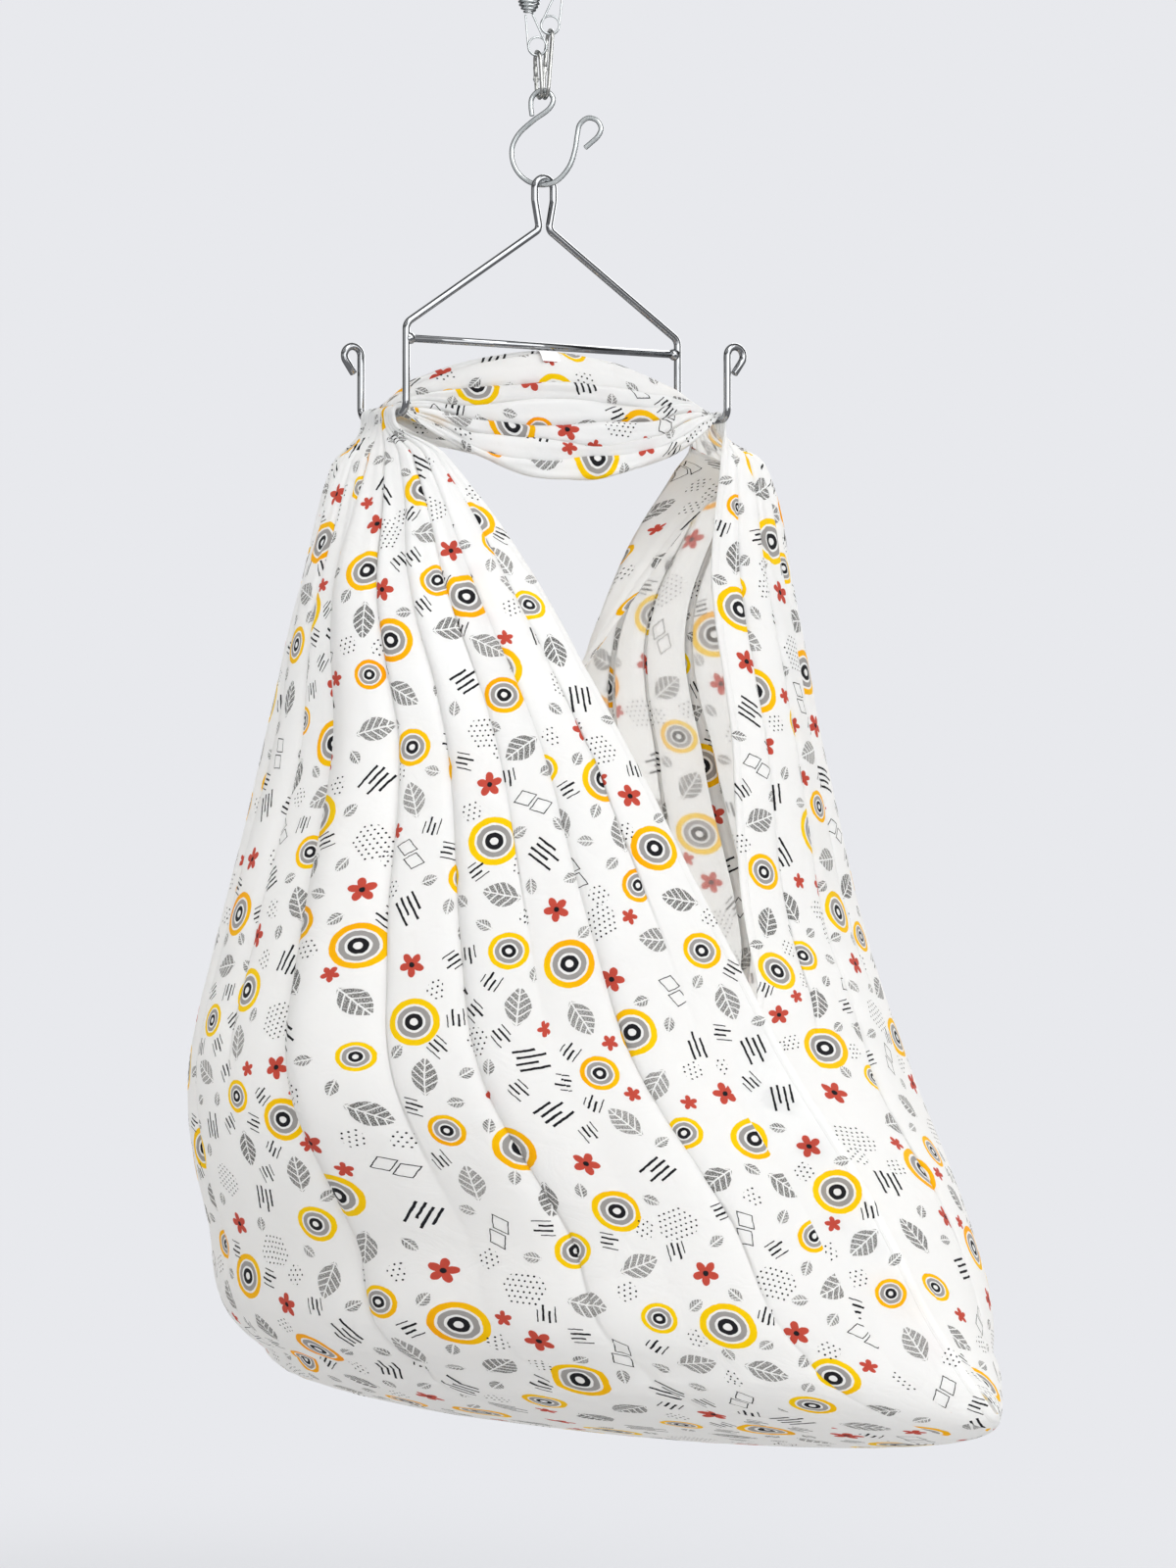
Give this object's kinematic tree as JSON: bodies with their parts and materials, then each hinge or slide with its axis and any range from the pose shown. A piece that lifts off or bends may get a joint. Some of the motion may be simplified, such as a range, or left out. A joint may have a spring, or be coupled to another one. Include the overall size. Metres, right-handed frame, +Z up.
{
  "type": "hanging baby cradle",
  "caption": "Hanging baby cradle: coil springs, snap hooks and an S-hook carry a bent rod hanger with a gathered cotton sling.",
  "frame": {"origin": "the point of support under the two upper spring eyes, on the line that the cradle hangs in", "axes": "+Z up, +X along the hanger's crossbar from its left leg to its right leg, -Y towards the front of the hanger's left bar"},
  "size_m": [0.7424, 1.0627, 1.7153],
  "materials": {
    "zinc_wire": "bright zinc-plated spring wire",
    "nickel_wire": "dull nickel-plated wire",
    "chromed_rod": "polished chrome plating on steel rod",
    "cotton": "plain-weave white cotton with a scattered print in yellow, grey and coral",
    "label_tape": "bare satin label tape"
  },
  "bodies": {
    "root": {"spring_left": "zinc_wire", "spring_right": "zinc_wire", "spring_eye_upper_left": "zinc_wire", "spring_eye_upper_right": "zinc_wire"},
    "spring_ends": {"spring_eye_lower_left": "zinc_wire", "spring_eye_lower_right": "zinc_wire"},
    "snap_short": {"snap_hook_short": "nickel_wire", "snap_gate_pin_short": "zinc_wire"},
    "snap_long": {"snap_hook_long": "nickel_wire", "snap_gate_pin_long": "zinc_wire"},
    "gate_short": {"snap_gate_short": "nickel_wire"},
    "gate_long": {"snap_gate_long": "nickel_wire"},
    "s_hook": {"s_hook": "zinc_wire"},
    "hanger": {"hanger_rod": "chromed_rod", "hanger_crossbar": "chromed_rod", "sling_cloth": "cotton", "label_tab": "label_tape"}
  },
  "joints": [
    {"name": "spring_bounce", "type": "slide", "parent": "root", "child": "spring_ends", "axis": [0, 0, -1], "range_m": [-0.01, 0.12], "stiffness_N_per_m": 400, "springref_m": -0.0365, "deforming": ["spring_left", "spring_right"]},
    {"name": "snap_short_swing", "type": "hinge", "parent": "spring_ends", "child": "snap_short", "pos_m": [-0.00771, 0.00064, -0.2315], "axis": [0.866, -0.5, 0], "range_deg": [-7, 7]},
    {"name": "snap_long_swing", "type": "hinge", "parent": "spring_ends", "child": "snap_long", "pos_m": [0.00728, -0.00039, -0.2075], "axis": [0.866, -0.5, 0], "range_deg": [-5, 5]},
    {"name": "gate_short_open", "type": "hinge", "parent": "snap_short", "child": "gate_short", "pos_m": [-0.00222, 0.0131, -0.25574], "axis": [0.9618, -0.2617, 0.0806], "range_deg": [0, 25], "stiffness_Nm_per_rad": 0.02, "springref_deg": -17.19},
    {"name": "gate_long_open", "type": "hinge", "parent": "snap_long", "child": "gate_long", "pos_m": [0.00671, 0.00975, -0.24442], "axis": [0.9621, -0.2594, -0.084], "range_deg": [0, 25], "stiffness_Nm_per_rad": 0.02, "springref_deg": -17.19},
    {"name": "s_hook_swing", "type": "hinge", "parent": "snap_short", "child": "s_hook", "pos_m": [-0.00105, 0.00125, -0.2805], "axis": [0.766, 0.6428, 0], "range_deg": [-12, 12]},
    {"name": "hanger_turn", "type": "hinge", "parent": "s_hook", "child": "hanger", "pos_m": [0, 0, -0.3674], "axis": [0, 0, 1], "range_deg": [-1, 45]}
  ],
  "couplings": [
    {"joint": "snap_long_swing", "follows": "snap_short_swing", "ratio": 0.642}
  ]
}
